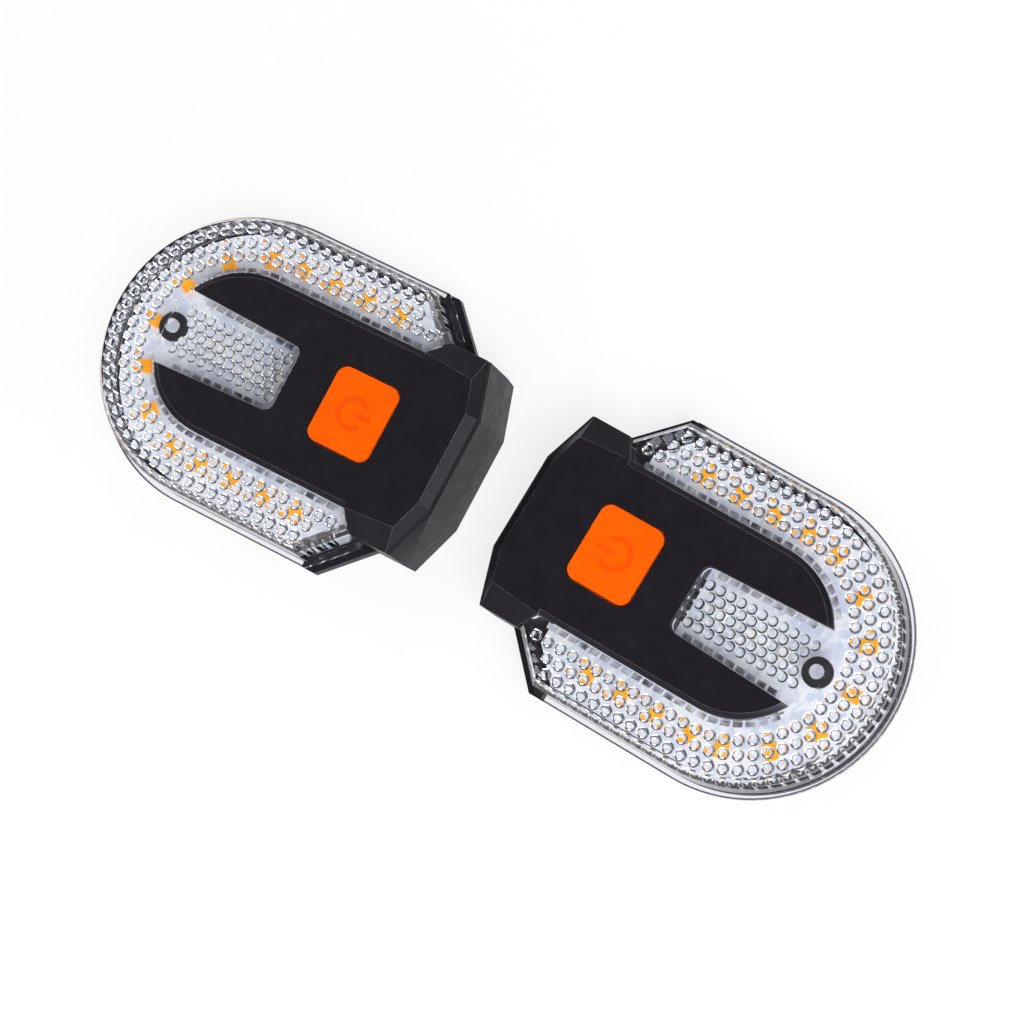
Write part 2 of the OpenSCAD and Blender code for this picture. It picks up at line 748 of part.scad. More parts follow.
// Cuts the bevels of one half of the base block's top: side, angled corner and end
module bevel_cut(s) {
    wedge_end = [
        [bevel_end, body_h], [reveal, z_bevel], [reveal, z_bevel - over], [-far, z_bevel - over],
        [-far, body_h + over], [bevel_end, body_h + over]
    ];
    side_a = [-corner_x, s*base_half];
    turn = [cos(crease_turn), s*sin(crease_turn)];
    wedge_side = [
        [bevel_side, body_h], [0, z_bevel], [-far, z_bevel], [-far, body_h + over],
        [bevel_side, body_h + over]
    ];
    along_line(side_a, side_a - turn) scale([s, 1]) polygon(wedge_side);
    corner_a = [-corner_x, s*base_half];
    corner_b = [-base_reach, s*base_end_w/2];
    along_line(corner_a, corner_b) scale([s, 1]) polygon(wedge_end);
    along_line(corner_b, [-base_reach, 0]) scale([s, 1]) polygon(wedge_end);
}

// Cuts the taper of one half of the base block's foot
module foot_cut(s) {
    wedge = [[0, foot_h], [foot_in, 0], [foot_in, -over], [-far, -over], [-far, foot_h]];
    corner_a = [-corner_x, s*base_half];
    corner_b = [-base_reach, s*base_end_w/2];
    for (line = [[[-block_x, s*base_half], corner_a], [corner_a, corner_b], [corner_b, [-base_reach, 0]]])
        along_line(line[0], line[1]) scale([s, 1]) polygon(wedge);
}

module pod(r, bottom, chamfer) {
    profile = [[0, bottom], [r - chamfer, bottom], [r, bottom + chamfer], [r, z_floor], [0, z_floor]];
    translate([pod_x, 0, 0]) u_body(profile, pod_x + panel_x + wall + over);
}

module rear_housing() {
    color([0.17, 0.17, 0.18])
        difference() {
            union() {
                difference() {
                    linear_extrude(z_part) block_plan();
                    for (s = [-1, 1]) foot_cut(s);
                    translate([0, 0, wall]) linear_extrude(body_h) block_plan(wall);
                    translate([-panel_x - 2*wall, -pod_in, wall]) cube([far, 2*pod_in, body_h]);
                    translate([-panel_x - 2*wall, -panel_r + wall, z_floor])
                        cube([far, panel_w - 2*wall, body_h]);
                }
                difference() {
                    union() {
                        pod(pod_r, 0, pod_chamfer);
                        translate([0, 0, tray_z]) linear_extrude(z_rim - tray_z) {
                            tray_plan(tray_in);
                            shoulder_plan();
                        }
                    }
                    pod(pod_r - wall, wall, 0);
                    translate([0, 0, z_floor]) linear_extrude(far)
                        tray_plan(tray_in + rim_w, lens_end_in + lens_gap);
                    translate([-panel_x - 2*wall, -panel_r + wall, z_floor])
                        cube([panel_x, panel_w - 2*wall, body_h]);
                    translate([0, 0, wall]) linear_extrude(far) block_plan(wall);
                }
                translate([-port_x, 0, wall]) linear_extrude(port_floor - wall)
                    square([cover_l + 4*wall, cover_w + 4*wall], center = true);
                for (spot = screw_spots) translate([spot.x, spot.y, 0])
                    cylinder(h = z_floor, d = screw_d + 2*shank_gap + 2*screw_wall);
                for (spot = insert_spots) translate([spot.x, spot.y, 0])
                    cylinder(h = insert_l + wall, d = insert_od);
            }
            for (spot = screw_spots) translate([spot.x, spot.y, -over]) {
                cylinder(h = well_h + over, d = head_d + 2*head_gap);
                cylinder(h = z_floor + 2*over, d = screw_d + 2*shank_gap);
            }
            for (spot = insert_spots) translate([spot.x, spot.y, -over])
                cylinder(h = insert_l + over, d = insert_d + 2*insert_gap);
            port_cut();
        }
}

// Well, hinge sockets and opening for the port and its cover
module port_cut() {
    well = cover_sink + cover_t + cover_gap;
    reach = cover_l + cover_t/2 + 2*cover_gap;
    translate([hinge_x - cover_t/2 - cover_gap, -cover_w/2 - cover_gap, -over])
        cube([reach, cover_w + 2*cover_gap, well + over]);
    translate([-port_x, 0, -over]) linear_extrude(port_floor + 2*over)
        square([port_l + 2*port_gap, port_w + 2*port_gap], center = true);
    translate([hinge_x, 0, z_cover]) rotate([90, 0, 0])
        cylinder(h = cover_w + 2*cover_gap + 2*hinge_l, d = hinge_d + 2*hinge_gap, center = true);
}

module housing_seal() {
    color([0.05, 0.05, 0.05])
        translate([0, 0, z_part]) linear_extrude(groove_h)
            difference() {
                block_plan(gasket_in);
                block_plan(gasket_in + gasket_w);
                translate([-panel_x - gasket_in - gasket_w - over, -panel_r + wall])
                    square([far, panel_w - 2*wall]);
            }
}

module button() {
    color([1, 0.42, 0])
        translate([-button_x, 0, 0]) {
            translate([0, 0, z_rim_top - button_rim_t - rim_gap])
                linear_extrude(button_rim_t)
                    rounded_plan(button_l + 2*button_rim, button_w + 2*button_rim, button_r + button_rim);
            translate([0, 0, z_rim_top - button_rim_t])
                linear_extrude(button_rim_t + panel_t + button_proud)
                    rounded_plan(button_l, button_w, button_r);
            translate([0, 0, z_stem]) cylinder(h = button_rim_t + over, d = stem_d);
        }
}

module switch_plunger() {
    color([0.2, 0.2, 0.2])
        translate([-button_x, 0, z_switch - plunger_in])
            cylinder(h = z_stem - z_switch + plunger_in, d = plunger_d);
}

module switch_body() {
    depth = plunger_in + button_travel + 2*plunger_gap;
    color([0.3, 0.3, 0.32])
        translate([-button_x, 0, z_board])
            difference() {
                translate([-switch_w/2, -switch_w/2, 0]) cube([switch_w, switch_w, switch_h]);
                translate([0, 0, switch_h - depth]) cylinder(h = depth + over, d = plunger_d + 2*plunger_gap);
            }
}

module circuit_board() {
    color([0.93, 0.94, 0.92])
        translate([0, 0, z_floor]) linear_extrude(board_t)
            difference() {
                union() {
                    difference() {
                        tray_plan(tray_in + rim_w + board_gap, lens_end_in + lens_gap + board_gap);
                        block_plan(-board_gap);
                    }
                    block_plan(wall + board_gap);
                    translate([-panel_x - 2*wall, -panel_r + wall + board_gap])
                        square([panel_x, panel_w - 2*(wall + board_gap)]);
                }
                for (spot = screw_spots) translate(spot) circle(d = screw_d + 2*shank_gap);
            }
}

module lamp() {
    translate([-lamp_l/2, -lamp_w/2, z_board]) cube([lamp_l, lamp_w, lamp_h]);
}

module amber_lamps() {
    color([1, 0.63, 0.08]) {
        for (a = lamp_angles) rotate([0, 0, a]) translate([lamp_path, 0, 0]) rotate([0, 0, 90]) lamp();
        for (x = lamp_row_x) for (s = [-1, 1]) translate([x, s*lamp_path, 0]) lamp();
    }
}

module white_lamps() {
    color([0.95, 0.93, 0.75])
        for (i = [-1 : 1]) translate([i*white_pitch - white_x, 0, 0]) lamp();
}

module resistors() {
    first_x = -button_x + button_l/2;
    first_y = window_w/2 + skirt_t + tuck_w + lens_gap + resistor_w;
    color([0.15, 0.15, 0.16])
        for (i = [0 : 1]) for (j = [0 : 1]) for (s = [-1, 1])
            translate([first_x + 2*i*resistor_l, s*(first_y + 2*j*resistor_w), z_board])
                translate([0, -resistor_w/2, 0]) cube([resistor_l, resistor_w, resistor_h]);
}

module controller_chip() {
    color([0.1, 0.1, 0.1])
        translate([-button_x + switch_w/2 + chip_gap, -chip_w/2, z_board]) cube([chip_w, chip_w, chip_h]);
}

module charger_chip() {
    color([0.1, 0.1, 0.1])
        translate([-port_x + port_l, screw_base_w/4, z_board])
            cube([charger_l, charger_w, charger_h]);
}

module battery() {
    color([0.72, 0.74, 0.76])
        translate([battery_x, 0, z_battery]) linear_extrude(battery_h)
            rounded_plan(battery_l, battery_w, battery_r);
}

module battery_pad() {
    color([0.2, 0.2, 0.22])
        translate([battery_x, 0, wall]) linear_extrude(pad_t)
            square([battery_l - 2*battery_r, battery_w - 2*battery_r], center = true);
}

// Two leads that leave the battery's end and turn up to the board
module battery_leads() {
    bend = 1.5*lead_d;
    start_x = battery_x - battery_l/2;
    lead_z = z_battery + battery_h/2;
    color([0.75, 0.1, 0.08])
        for (s = [-1, 1]) translate([start_x, s*lead_gap/2, lead_z]) {
            translate([-lead_d, 0, 0]) rotate([0, 90, 0]) cylinder(h = lead_d, d = lead_d);
            translate([-lead_d, 0, bend]) rotate([90, 0, 0]) rotate([0, 0, 180])
                rotate_extrude(angle = 90) translate([bend, 0]) circle(d = lead_d);
            translate([-lead_d - bend, 0, bend]) cylinder(h = z_floor - lead_z - bend, d = lead_d);
        }
}

module port_shell() {
    color([0.75, 0.76, 0.78])
        translate([-port_x, 0, port_floor])
            difference() {
                linear_extrude(z_floor - port_floor) square([port_l, port_w], center = true);
                translate([0, 0, -over]) linear_extrude(z_floor - port_floor - shell_end + over)
                    square([port_l - 2*port_t, port_w - 2*port_t], center = true);
            }
}

module port_tongue() {
    color([0.1, 0.1, 0.1])
        translate([-port_x, 0, port_floor + tongue_in])
            linear_extrude(z_floor - port_floor - tongue_in - shell_end)
                square([tongue_l, tongue_w], center = true);
}

module port_cover() {
    plug_l = port_l + 2*port_gap - 2*plug_gap;
    plug_w = port_w + 2*port_gap - 2*plug_gap;
    color([0.12, 0.12, 0.13]) {
        translate([hinge_x, -cover_w/2, cover_sink]) cube([cover_l, cover_w, cover_t]);
        translate([hinge_x, 0, z_cover]) rotate([90, 0, 0])
            cylinder(h = cover_w, d = cover_t, center = true);
        translate([hinge_x, 0, z_cover]) rotate([90, 0, 0])
            cylinder(h = cover_w + 2*cover_gap + 2*hinge_l - 2*cover_gap, d = hinge_d, center = true);
        translate([-port_x, 0, cover_sink + cover_t/2]) linear_extrude(cover_t/2 + plug_h)
            square([plug_l, plug_w], center = true);
    }
}

module case_screws() {
    color([0.6, 0.6, 0.62])
        for (spot = screw_spots) translate([spot.x, spot.y, 0]) {
            translate([0, 0, well_h - head_h]) cylinder(h = head_h, d = head_d);
            translate([0, 0, well_h]) cylinder(h = screw_l, d = screw_d);
        }
}

module mount_inserts() {
    color([0.8, 0.62, 0.25])
        for (spot = insert_spots) translate([spot.x, spot.y, 0])
            difference() {
                cylinder(h = insert_l, d = insert_d);
                translate([0, 0, -over]) cylinder(h = insert_l + 2*over, d = insert_bore);
            }
}

// Lays one light down on its own side of the pair
module place(side) {
    mirrored = side == "left" ? 1 : 0;
    translate([0, lay_shift, 0])
        mirror([mirrored, 0, 0])
            translate([pair_gap/2, 0, 0])
                rotate([0, 0, -lay_angle])
                    translate([base_reach, 0, 0]) children();
}

for (side = SIDES) place(side) {
    front_housing();
    rear_housing();
    lens();
    pin_ring();
    lens_seal();
    housing_seal();
    button();
    switch_body();
    switch_plunger();
    circuit_board();
    amber_lamps();
    white_lamps();
    resistors();
    controller_chip();
    charger_chip();
    battery();
    battery_pad();
    battery_leads();
    port_shell();
    port_tongue();
    port_cover();
    case_screws();
    mount_inserts();
}
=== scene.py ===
import json
import math

import bmesh
import bpy
from mathutils import Matrix, Vector


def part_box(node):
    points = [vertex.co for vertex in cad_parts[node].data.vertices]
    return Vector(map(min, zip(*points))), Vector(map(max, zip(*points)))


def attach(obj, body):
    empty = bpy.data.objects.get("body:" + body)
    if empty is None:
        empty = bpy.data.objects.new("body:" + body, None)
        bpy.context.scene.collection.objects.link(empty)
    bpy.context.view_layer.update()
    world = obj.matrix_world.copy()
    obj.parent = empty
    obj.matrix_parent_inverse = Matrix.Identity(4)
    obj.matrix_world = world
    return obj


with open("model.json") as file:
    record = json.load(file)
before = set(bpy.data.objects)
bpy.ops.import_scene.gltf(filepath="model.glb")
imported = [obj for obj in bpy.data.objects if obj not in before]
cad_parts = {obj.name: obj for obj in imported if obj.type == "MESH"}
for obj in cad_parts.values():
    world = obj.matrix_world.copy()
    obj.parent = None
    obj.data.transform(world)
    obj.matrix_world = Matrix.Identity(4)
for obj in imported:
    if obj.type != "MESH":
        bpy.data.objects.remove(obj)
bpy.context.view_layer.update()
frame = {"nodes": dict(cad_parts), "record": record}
SIDES = ("left", "right")
MM = 0.001

# Photograph's camera, in the frame of the pair
CAMERA_AT = Vector((0.25118, -0.04690, 0.69139))
CAMERA_LOOK = Vector((-0.33995, 0.06310, -0.93832))
CAMERA_UP = Vector((-0.44538, 0.86796, 0.21972))
IMAGE_SIZE = 1024
FOCAL_PIXELS = 3480.8
SENSOR = 36.0

# Sizes of the added details, in metres
SYMBOL_RADIUS = 3.3 * MM
SYMBOL_STROKE = 1.0 * MM
SYMBOL_HEIGHT = 0.06 * MM
SYMBOL_BAR_END = SYMBOL_STROKE * 0.6
SYMBOL_GAP_ANGLE = 42.0
SYMBOL_STEPS = 40


def srgb(r, g, b):
    """A picture colour, 0 to 255, as the linear colour that a shader takes."""
    def linear(v):
        v = v / 255
        return v / 12.92 if v <= 0.04045 else ((v + 0.055) / 1.055) ** 2.4
    return (linear(r), linear(g), linear(b), 1.0)


# Material helpers

WHITE = (1.0, 1.0, 1.0, 1.0)
COOL = (0.86, 0.84, 1.0, 1.0)
# Part of a texture's range over which colours and values run
RAMP_RANGE = (0.3, 0.7)
VALUE_RANGE = (0.35, 0.65)
# Texture scales, in cycles per millimetre
MOTTLE_SCALE = 0.15
GLOSS_SCALE = 0.4
DRAWING_SCALE = 1.2
ISLAND_SCALE = 0.55
TINT_SCALE = 0.6
GRAIN_STRENGTH = 0.35
FINE_DETAIL = 2.0
DRAWING_DETAIL = 6.0


def new_material(name):
    material = bpy.data.materials.new(name)
    material.use_nodes = True
    tree = material.node_tree
    return material, tree, tree.nodes["Principled BSDF"]


def object_noise(tree, scale, detail=4.0, roughness=0.55):
    """Noise fixed to the object, with scale in cycles per millimetre."""
    coords = tree.nodes.new("ShaderNodeTexCoord")
    noise = tree.nodes.new("ShaderNodeTexNoise")
    noise.inputs["Scale"].default_value = scale / MM
    noise.inputs["Detail"].default_value = detail
    noise.inputs["Roughness"].default_value = roughness
    tree.links.new(coords.outputs["Object"], noise.inputs["Vector"])
    return noise.outputs["Fac"]


def between(tree, factor, low, high, lowest=VALUE_RANGE[0], highest=VALUE_RANGE[1]):
    """A value that runs from low to high with a texture."""
    remap = tree.nodes.new("ShaderNodeMapRange")
    remap.inputs["From Min"].default_value = lowest
    remap.inputs["From Max"].default_value = highest
    remap.inputs["To Min"].default_value = low
    remap.inputs["To Max"].default_value = high
    tree.links.new(factor, remap.inputs["Value"])
    return remap.outputs["Result"]


def colours(tree, factor, low, high):
    """A colour that runs from low to high with a texture."""
    ramp = tree.nodes.new("ShaderNodeValToRGB")
    for element, position, colour in zip(ramp.color_ramp.elements, RAMP_RANGE, (low, high)):
        element.position = position
        element.color = colour
    tree.links.new(factor, ramp.inputs["Fac"])
    return ramp.outputs["Color"]


def bump(tree, height, strength, distance):
    node = tree.nodes.new("ShaderNodeBump")
    node.inputs["Strength"].default_value = strength
    node.inputs["Distance"].default_value = distance
    tree.links.new(height, node.inputs["Height"])
    return node.outputs["Normal"]


def plastic(name, low, high, rough_low, rough_high, grain, grain_depth, specular=0.5, sheen=WHITE):
    """Moulded plastic or rubber with mottled colour, uneven gloss and a fine grain."""
    material, tree, shader = new_material(name)
    mottle = object_noise(tree, MOTTLE_SCALE)
    tree.links.new(colours(tree, mottle, low, high), shader.inputs["Base Color"])
    gloss = between(tree, object_noise(tree, GLOSS_SCALE), rough_low, rough_high)
    tree.links.new(gloss, shader.inputs["Roughness"])
    surface = bump(tree, object_noise(tree, grain, FINE_DETAIL), GRAIN_STRENGTH, grain_depth)
    tree.links.new(surface, shader.inputs["Normal"])
    shader.inputs["Specular IOR Level"].default_value = specular
    shader.inputs["Specular Tint"].default_value = sheen
    return material


def metal(name, low, high, rough_low, rough_high):
    """Plated or bare metal with faint drawing marks."""
    material, tree, shader = new_material(name)
    marks = object_noise(tree, DRAWING_SCALE, DRAWING_DETAIL)
    tree.links.new(colours(tree, marks, low, high), shader.inputs["Base Color"])
    tree.links.new(between(tree, marks, rough_low, rough_high), shader.inputs["Roughness"])
    shader.inputs["Metallic"].default_value = 1.0
    return material


# Clear lens: its tint, the painted shade on its flange's outer edge, and the share of the light that it
# holds back from what it covers
LENS_IOR = 1.58
LENS_TINT = (0.94, 0.957, 1.0, 1.0)
# Dark grey painted shade on the flange's outer edge, in place of its dark refraction line and contact
# shadow
FLANGE_PAINTED_SHADE = srgb(96, 96, 106)
LENS_SHADE = 0.12
LENS_ROUGHNESS = (0.0, 0.05)
GLAZE_SCALE = 0.3
FLOW_SCALE = 0.25
FLOW_STRENGTH = 0.08
FLOW_DEPTH = 0.05 * MM
# Least and most that a prism pad hides of what lies under it
PAD_COVER = (0.25, 0.9)
# Places on a lens, in millimetres: how far the ring, the prongs and the flange reach from the middle of
# the arc, how far the panel's arc lies back from it, and half widths to the middles of the pads
RING_REACH = 16.6
PRONG_REACH = 14.5
FLANGE_EDGE = 32.55
PANEL_BACK = 0.5
PAD_MIDDLE = 19.15
PAD_HALF_WIDTH = 0.75
WINDOW_PAD_MIDDLE = 7.4
WINDOW_PAD_HALF_WIDTH = 1.4
# Heights in millimetres: the ring below the lens top's underside, and the pads' zone below it
RING_DROP = 0.8
PAD_TOP = 0.05


def math_node(tree, operation, *values):
    """A maths node on sockets and plain numbers."""
    node = tree.nodes.new("ShaderNodeMath")
    node.operation = operation
    for socket, value in zip(node.inputs, values):
        if isinstance(value, (int, float)):
            socket.default_value = value
        else:
            tree.links.new(value, socket)
    return node.outputs[0]


def light_axis(side):
    """Direction along a light from its base end to its arc, from the record's cover hinge."""
    for joint in frame["record"]["behaviour"]["joints"]:
        if joint["name"] == side + "_port_cover_hinge":
            across = Vector(joint["axis"])
            along = Vector((across.y, -across.x, 0)).normalized()
            outward = 1 if side == "right" else -1
            return along if along.x * outward > 0 else -along


def lens_zones(tree, side):
    """Two masks on a lens: one for the prism pads, and one for the outer edge of the flange, where a
    dark grey shade is painted.
    """
    along = light_axis(side)
    ring_low, ring_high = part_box(side + "_pin_ring")
    middle = (ring_low + ring_high) / 2 - along * RING_REACH * MM
    coords = tree.nodes.new("ShaderNodeTexCoord")
    local = tree.nodes.new("ShaderNodeMapping")
    local.vector_type = "TEXTURE"
    local.inputs["Location"].default_value = (middle.x, middle.y, 0.0)
    local.inputs["Rotation"].default_value = (0.0, 0.0, math.atan2(along.y, along.x))
    local.inputs["Scale"].default_value = (MM, MM, MM)
    tree.links.new(coords.outputs["Object"], local.inputs["Vector"])
    axes = tree.nodes.new("ShaderNodeSeparateXYZ")
    tree.links.new(local.outputs["Vector"], axes.inputs["Vector"])
    aside = math_node(tree, "ABSOLUTE", axes.outputs["Y"])

    def half_width(shift):
        """Distance from a light's middle line, carried round the arc about a point shifted back."""
        ahead = math_node(tree, "MAXIMUM", math_node(tree, "ADD", axes.outputs["X"], shift), 0.0)
        squares = [math_node(tree, "POWER", run, 2.0) for run in (ahead, aside)]
        return math_node(tree, "SQRT", math_node(tree, "ADD", *squares))

    beside = math_node(tree, "COMPARE", half_width(PANEL_BACK), PAD_MIDDLE, PAD_HALF_WIDTH)
    window = math_node(tree, "COMPARE", aside, WINDOW_PAD_MIDDLE, WINDOW_PAD_HALF_WIDTH)
    behind_tips = math_node(tree, "LESS_THAN", axes.outputs["X"], PRONG_REACH)
    window = math_node(tree, "MULTIPLY", window, behind_tips)
    below = math_node(tree, "LESS_THAN", axes.outputs["Z"], ring_high.z / MM + RING_DROP - PAD_TOP)
    pads = math_node(tree, "MULTIPLY", math_node(tree, "MAXIMUM", beside, window), below)
    edge = math_node(tree, "GREATER_THAN", half_width(0.0), FLANGE_EDGE)
    return pads, edge


def clear_plastic(side):
    """Polished clear polycarbonate, with faint flow lines, that lets light through to what it covers,
    and a painted dark shade along the flange's outer edge.
    """
    material, tree, shader = new_material(side + "_clear_polycarbonate")
    pads, edge = lens_zones(tree, side)
    # The dark grey tint on the flange's outer edge is painted shade
    tree.links.new(colours(tree, edge, LENS_TINT, FLANGE_PAINTED_SHADE), shader.inputs["Base Color"])
    shader.inputs["Transmission Weight"].default_value = 1.0
    shader.inputs["IOR"].default_value = LENS_IOR
    glaze = between(tree, object_noise(tree, GLAZE_SCALE), *LENS_ROUGHNESS)
    tree.links.new(glaze, shader.inputs["Roughness"])
    flow = bump(tree, object_noise(tree, FLOW_SCALE, FINE_DETAIL), FLOW_STRENGTH, FLOW_DEPTH)
    tree.links.new(flow, shader.inputs["Normal"])
    rays = tree.nodes.new("ShaderNodeLightPath")
    lighting = math_node(tree, "MAXIMUM", rays.outputs["Is Shadow Ray"], rays.outputs["Is Diffuse Ray"])
    cover = between(tree, lighting, 1.0, LENS_SHADE, 0.0, 1.0)
    pad_cover = between(tree, object_noise(tree, FLOW_SCALE, FINE_DETAIL), *PAD_COVER)
    clearing = math_node(tree, "MULTIPLY", pads, math_node(tree, "SUBTRACT", 1.0, pad_cover))
    opening = math_node(tree, "SUBTRACT", 1.0, clearing)
    tree.links.new(math_node(tree, "MULTIPLY", cover, opening), shader.inputs["Alpha"])
    return material


def white_board():
    """White solder mask over copper, which shows as greyer islands with fine lines between them."""
    material, tree, shader = new_material("white_mask")
    coords = tree.nodes.new("ShaderNodeTexCoord")
    islands = tree.nodes.new("ShaderNodeTexVoronoi")
    islands.inputs["Scale"].default_value = ISLAND_SCALE / MM
    tree.links.new(coords.outputs["Object"], islands.inputs["Vector"])
    tone = tree.nodes.new("ShaderNodeSeparateColor")
    tree.links.new(islands.outputs["Color"], tone.inputs["Color"])
    paint = colours(tree, tone.outputs["Red"], srgb(222, 227, 242), srgb(248, 250, 255))
    tree.links.new(paint, shader.inputs["Base Color"])
    tree.links.new(between(tree, islands.outputs["Distance"], 0.25, 0.5), shader.inputs["Roughness"])
    tree.links.new(bump(tree, islands.outputs["Distance"], 0.3, 0.03 * MM), shader.inputs["Normal"])
    return material


def lamp_resin(name, body, glow, strength):
    """Tinted lamp resin whose emission in its own colour, at the given strength, paints a glow on the
    unlit lamp.
    """
    material, tree, shader = new_material(name)
    tint = object_noise(tree, TINT_SCALE)
    tree.links.new(colours(tree, tint, body, glow), shader.inputs["Base Color"])
    tree.links.new(between(tree, tint, 0.2, 0.4), shader.inputs["Roughness"])
    shader.inputs["Emission Color"].default_value = glow
    shader.inputs["Emission Strength"].default_value = strength
    return material


MATERIALS = {
    "front_housing": plastic(
        "panel_black", srgb(23, 21, 26), srgb(27, 25, 30), 0.34, 0.42, 9.0, 0.01 * MM, 0.28, COOL),
    # The light grey edge material is a painted highlight, put on the front housing's rounded edges where
    # glints would be
    "edge": plastic(
        "painted_highlight_edge", srgb(132, 131, 138), srgb(172, 171, 178), 0.3, 0.45, 6.0, 0.005 * MM, 0.4),
    "rear_housing": plastic(
        "rear_black", srgb(25, 24, 30), srgb(32, 31, 37), 0.34, 0.44, 6.0, 0.02 * MM, 0.14, COOL),
    "seal": plastic(
        "black_silicone", srgb(18, 18, 20), srgb(26, 26, 28), 0.55, 0.7, 4.0, 0.02 * MM, 0.3),
    "button": plastic(
        "orange_silicone", srgb(255, 90, 0), srgb(255, 97, 0), 0.55, 0.68, 5.0, 0.015 * MM, 0.05),
    "symbol": plastic(
        "orange_symbol", srgb(238, 78, 0), srgb(242, 84, 0), 0.55, 0.68, 5.0, 0.015 * MM, 0.05),
    "black_part": plastic(
        "black_moulding", srgb(24, 24, 26), srgb(34, 34, 36), 0.4, 0.55, 5.0, 0.02 * MM),
    "board": white_board(),
    "foam": plastic(
        "grey_foam", srgb(52, 52, 56), srgb(70, 70, 74), 0.85, 0.95, 2.5, 0.2 * MM, 0.2),
    "lead": plastic(
        "red_insulation", srgb(150, 22, 18), srgb(170, 30, 24), 0.4, 0.5, 3.0, 0.01 * MM),
    "foil": metal("cell_foil", srgb(176, 180, 186), srgb(204, 208, 214), 0.3, 0.45),
    "steel": metal("plated_steel", srgb(160, 160, 164), srgb(196, 196, 200), 0.25, 0.4),
    "brass": metal("brass", srgb(190, 150, 82), srgb(214, 176, 104), 0.25, 0.4),
    # The amber resin's emission is a painted glow on the unlit lamps
    "amber": lamp_resin("amber_resin_painted_glow", srgb(255, 148, 6), srgb(255, 172, 22), 0.3),
    "pale": lamp_resin("pale_resin", srgb(250, 247, 230), srgb(254, 252, 244), 0.0),
    "left_lens": clear_plastic("left"),
    "right_lens": clear_plastic("right"),
}
FINISH = {
    "front_housing": "front_housing", "rear_housing": "rear_housing",
    "left_lens": "left_lens", "right_lens": "right_lens",
    "pin_ring": "seal", "lens_seal": "seal", "housing_seal": "seal", "button": "button",
    "switch_body": "black_part", "switch_plunger": "black_part", "circuit_board": "board",
    "amber_lamps": "amber", "white_lamps": "pale", "resistors": "black_part",
    "controller_chip": "black_part", "charger_chip": "black_part", "battery": "foil",
    "battery_pad": "foam", "battery_leads": "lead", "port_shell": "steel",
    "port_tongue": "black_part", "port_cover": "seal", "case_screws": "steel",
    "mount_inserts": "brass",
}
# Rounded edges of the moulded pieces, in metres, and the lighter material painted on them as a highlight
# along the edges
EDGE_ROUNDING = {"front_housing": 0.17 * MM, "rear_housing": 0.2 * MM, "button": 0.45 * MM}
EDGE_PAINTED_HIGHLIGHT = {"front_housing": "edge"}
EDGE_ANGLE = math.radians(22)
EDGE_SEGMENTS = 2
WELD_DISTANCE = 0.002 * MM


def finish_nodes():
    """Gives each CAD node its material, soft edges where the mould has them, and a painted highlight on
    the front housing's rounded edges.
    """
    for name, node in frame["nodes"].items():
        piece = name.split("_", 1)[1]
        node.data.materials.clear()
        node.data.materials.append(MATERIALS[FINISH.get(name) or FINISH[piece]])
        if piece in EDGE_ROUNDING:
            weld = node.modifiers.new("weld", "WELD")
            weld.merge_threshold = WELD_DISTANCE
            rounding = node.modifiers.new("rounding", "BEVEL")
            rounding.width = EDGE_ROUNDING[piece]
            rounding.segments = EDGE_SEGMENTS
            rounding.limit_method = "ANGLE"
            rounding.angle_limit = EDGE_ANGLE
            rounding.use_clamp_overlap = True
            rounding.harden_normals = False
            # The rounded faces of the front housing take the painted edge highlight
            if piece in EDGE_PAINTED_HIGHLIGHT:
                node.data.materials.append(MATERIALS[EDGE_PAINTED_HIGHLIGHT[piece]])
                rounding.material = 1


def power_symbol(side):
    """Open ring and bar that stand slightly out of the button, the gap towards the base end."""
    low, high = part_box(side + "_button")
    centre = Vector(((low.x + high.x) / 2, (low.y + high.y) / 2, high.z))
    along = light_axis(side)
    across = Vector((-along.y, along.x, 0))
    half = SYMBOL_STROKE / 2
    shape = bmesh.new()

    def point(forward, sideways, up):
        return shape.verts.new(centre + along * forward + across * sideways + Vector((0, 0, up)))

    def strip(inner, outer):
        """A closed raised band between two rows of plan points."""
        inner_low, outer_low = [[point(f, s, -SYMBOL_HEIGHT) for f, s in row] for row in (inner, outer)]
        inner_high, outer_high = [[point(f, s, SYMBOL_HEIGHT) for f, s in row] for row in (inner, outer)]
        for i in range(len(inner) - 1):
            shape.faces.new((inner_high[i], inner_high[i + 1], outer_high[i + 1], outer_high[i]))
            shape.faces.new((inner_low[i], outer_low[i], outer_low[i + 1], inner_low[i + 1]))
            shape.faces.new((outer_low[i], outer_high[i], outer_high[i + 1], outer_low[i + 1]))
            shape.faces.new((inner_low[i], inner_low[i + 1], inner_high[i + 1], inner_high[i]))
        for i in (0, -1):
            shape.faces.new((inner_low[i], inner_high[i], outer_high[i], outer_low[i]))

    start = math.radians(180 + SYMBOL_GAP_ANGLE)
    sweep = math.radians(360 - 2 * SYMBOL_GAP_ANGLE)
    angles = [start + sweep * i / SYMBOL_STEPS for i in range(SYMBOL_STEPS + 1)]
    radii = (SYMBOL_RADIUS - half, SYMBOL_RADIUS + half)
    strip(*[[(radius * math.cos(a), radius * math.sin(a)) for a in angles] for radius in radii])
    reach = SYMBOL_RADIUS + SYMBOL_STROKE
    strip(*[[(-reach, edge), (-SYMBOL_BAR_END, edge)] for edge in (-half, half)])
    bmesh.ops.recalc_face_normals(shape, faces=shape.faces)
    mesh = bpy.data.meshes.new(side + "_power_symbol")
    shape.to_mesh(mesh)
    shape.free()
    piece = bpy.data.objects.new(side + "_power_symbol", mesh)
    bpy.context.scene.collection.objects.link(piece)
    mesh.materials.append(MATERIALS["symbol"])
    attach(piece, side + "_button_group")


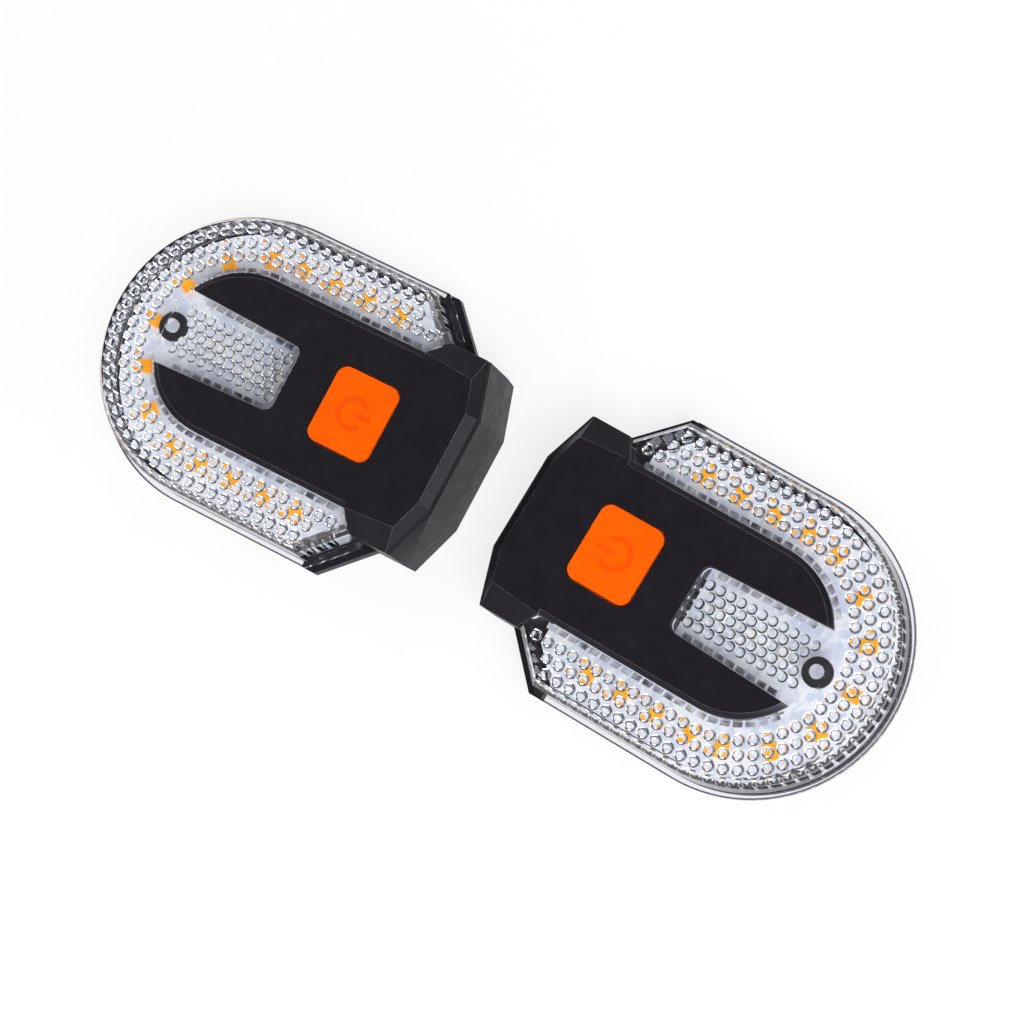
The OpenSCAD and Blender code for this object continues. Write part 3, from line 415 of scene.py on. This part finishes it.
def make_camera():
    data = bpy.data.cameras.new("camera")
    data.sensor_width = SENSOR
    data.lens = SENSOR * FOCAL_PIXELS / IMAGE_SIZE
    data.clip_start = 0.01
    camera = bpy.data.objects.new("camera", data)
    back = -CAMERA_LOOK.normalized()
    right = CAMERA_UP.cross(back).normalized()
    up = back.cross(right)
    turn = Matrix((right, up, back)).transposed().to_4x4()
    camera.matrix_world = Matrix.Translation(CAMERA_AT) @ turn
    bpy.context.scene.collection.objects.link(camera)
    bpy.context.scene.camera = camera


# Floor: half its side in metres, and the share of plain white in what the eye sees of it
FLOOR_HALF = 1.5
FLOOR_WHITE = 0.8
FLOOR_SCALE = 0.02
FLOOR_ROUGHNESS = 0.9


def make_floor():
    """White floor: bright to the eye and in reflections, and still shaded by the object."""
    shape = bmesh.new()
    bmesh.ops.create_grid(shape, x_segments=1, y_segments=1, size=FLOOR_HALF)
    mesh = bpy.data.meshes.new("floor")
    shape.to_mesh(mesh)
    shape.free()
    floor = bpy.data.objects.new("floor", mesh)
    bpy.context.scene.collection.objects.link(floor)
    material, tree, shader = new_material("white_floor")
    paint = colours(tree, object_noise(tree, FLOOR_SCALE), srgb(247, 247, 247), srgb(251, 251, 251))
    tree.links.new(paint, shader.inputs["Base Color"])
    shader.inputs["Roughness"].default_value = FLOOR_ROUGHNESS
    rays = tree.nodes.new("ShaderNodeLightPath")
    seen = math_node(tree, "MAXIMUM", rays.outputs["Is Camera Ray"], rays.outputs["Is Glossy Ray"])
    seen = math_node(tree, "MAXIMUM", seen, rays.outputs["Is Transmission Ray"])
    share = math_node(tree, "MULTIPLY", seen, FLOOR_WHITE)
    white = tree.nodes.new("ShaderNodeEmission")
    white.inputs["Strength"].default_value = 1.0
    mix = tree.nodes.new("ShaderNodeMixShader")
    tree.links.new(share, mix.inputs["Fac"])
    tree.links.new(shader.outputs["BSDF"], mix.inputs[1])
    tree.links.new(white.outputs["Emission"], mix.inputs[2])
    tree.links.new(mix.outputs["Shader"], tree.nodes["Material Output"].inputs["Surface"])
    mesh.materials.append(material)


def soft_box(name, at, size, power):
    """A square studio lamp that faces the middle of the pair."""
    data = bpy.data.lights.new(name, "AREA")
    data.shape = "SQUARE"
    data.size = size
    data.energy = power
    lamp = bpy.data.objects.new(name, data)
    lamp.location = at
    lamp.rotation_euler = (-Vector(at)).to_track_quat("-Z", "Y").to_euler()
    bpy.context.scene.collection.objects.link(lamp)


# Lamps: name, place and size in metres, and power in watts
LAMPS = (
    ("key", (0.75, -0.3, 1.2), 0.6, 15.5),
    ("side_left", (-1.0, 0.1, 0.55), 0.8, 3.0),
    ("side_right", (1.0, 0.0, 0.45), 0.7, 4.8),
    ("back", (-0.35, 1.0, 0.7), 0.8, 1.5),
    ("front", (-0.1, -1.0, 0.5), 0.8, 2.2),
)
# Brightness of the room at the horizon and overhead, and the share left of it behind the pair
WORLD_HORIZON = 0.5
WORLD_ZENITH = 0.1
WORLD_BACK = 0.3
WORLD_DEPTH = (-0.2, 0.6)


def make_light():
    """A high key lamp on the right, soft boxes round the pair, and a room dim overhead and behind."""
    for lamp in LAMPS:
        soft_box(*lamp)
    world = bpy.data.worlds.new("studio")
    bpy.context.scene.world = world
    world.use_nodes = True
    tree = world.node_tree
    sky = tree.nodes["Background"]
    sky.inputs["Color"].default_value = WHITE
    coords = tree.nodes.new("ShaderNodeTexCoord")
    axes = tree.nodes.new("ShaderNodeSeparateXYZ")
    tree.links.new(coords.outputs["Generated"], axes.inputs["Vector"])
    height = between(tree, axes.outputs["Z"], WORLD_HORIZON, WORLD_ZENITH, 0.0, 1.0)
    depth = between(tree, axes.outputs["Y"], 1.0, WORLD_BACK, *WORLD_DEPTH)
    tree.links.new(math_node(tree, "MULTIPLY", height, depth), sky.inputs["Strength"])


make_camera()
make_floor()
make_light()
finish_nodes()
for side in SIDES:
    power_symbol(side)

bpy.context.scene.view_settings.view_transform = "Standard"
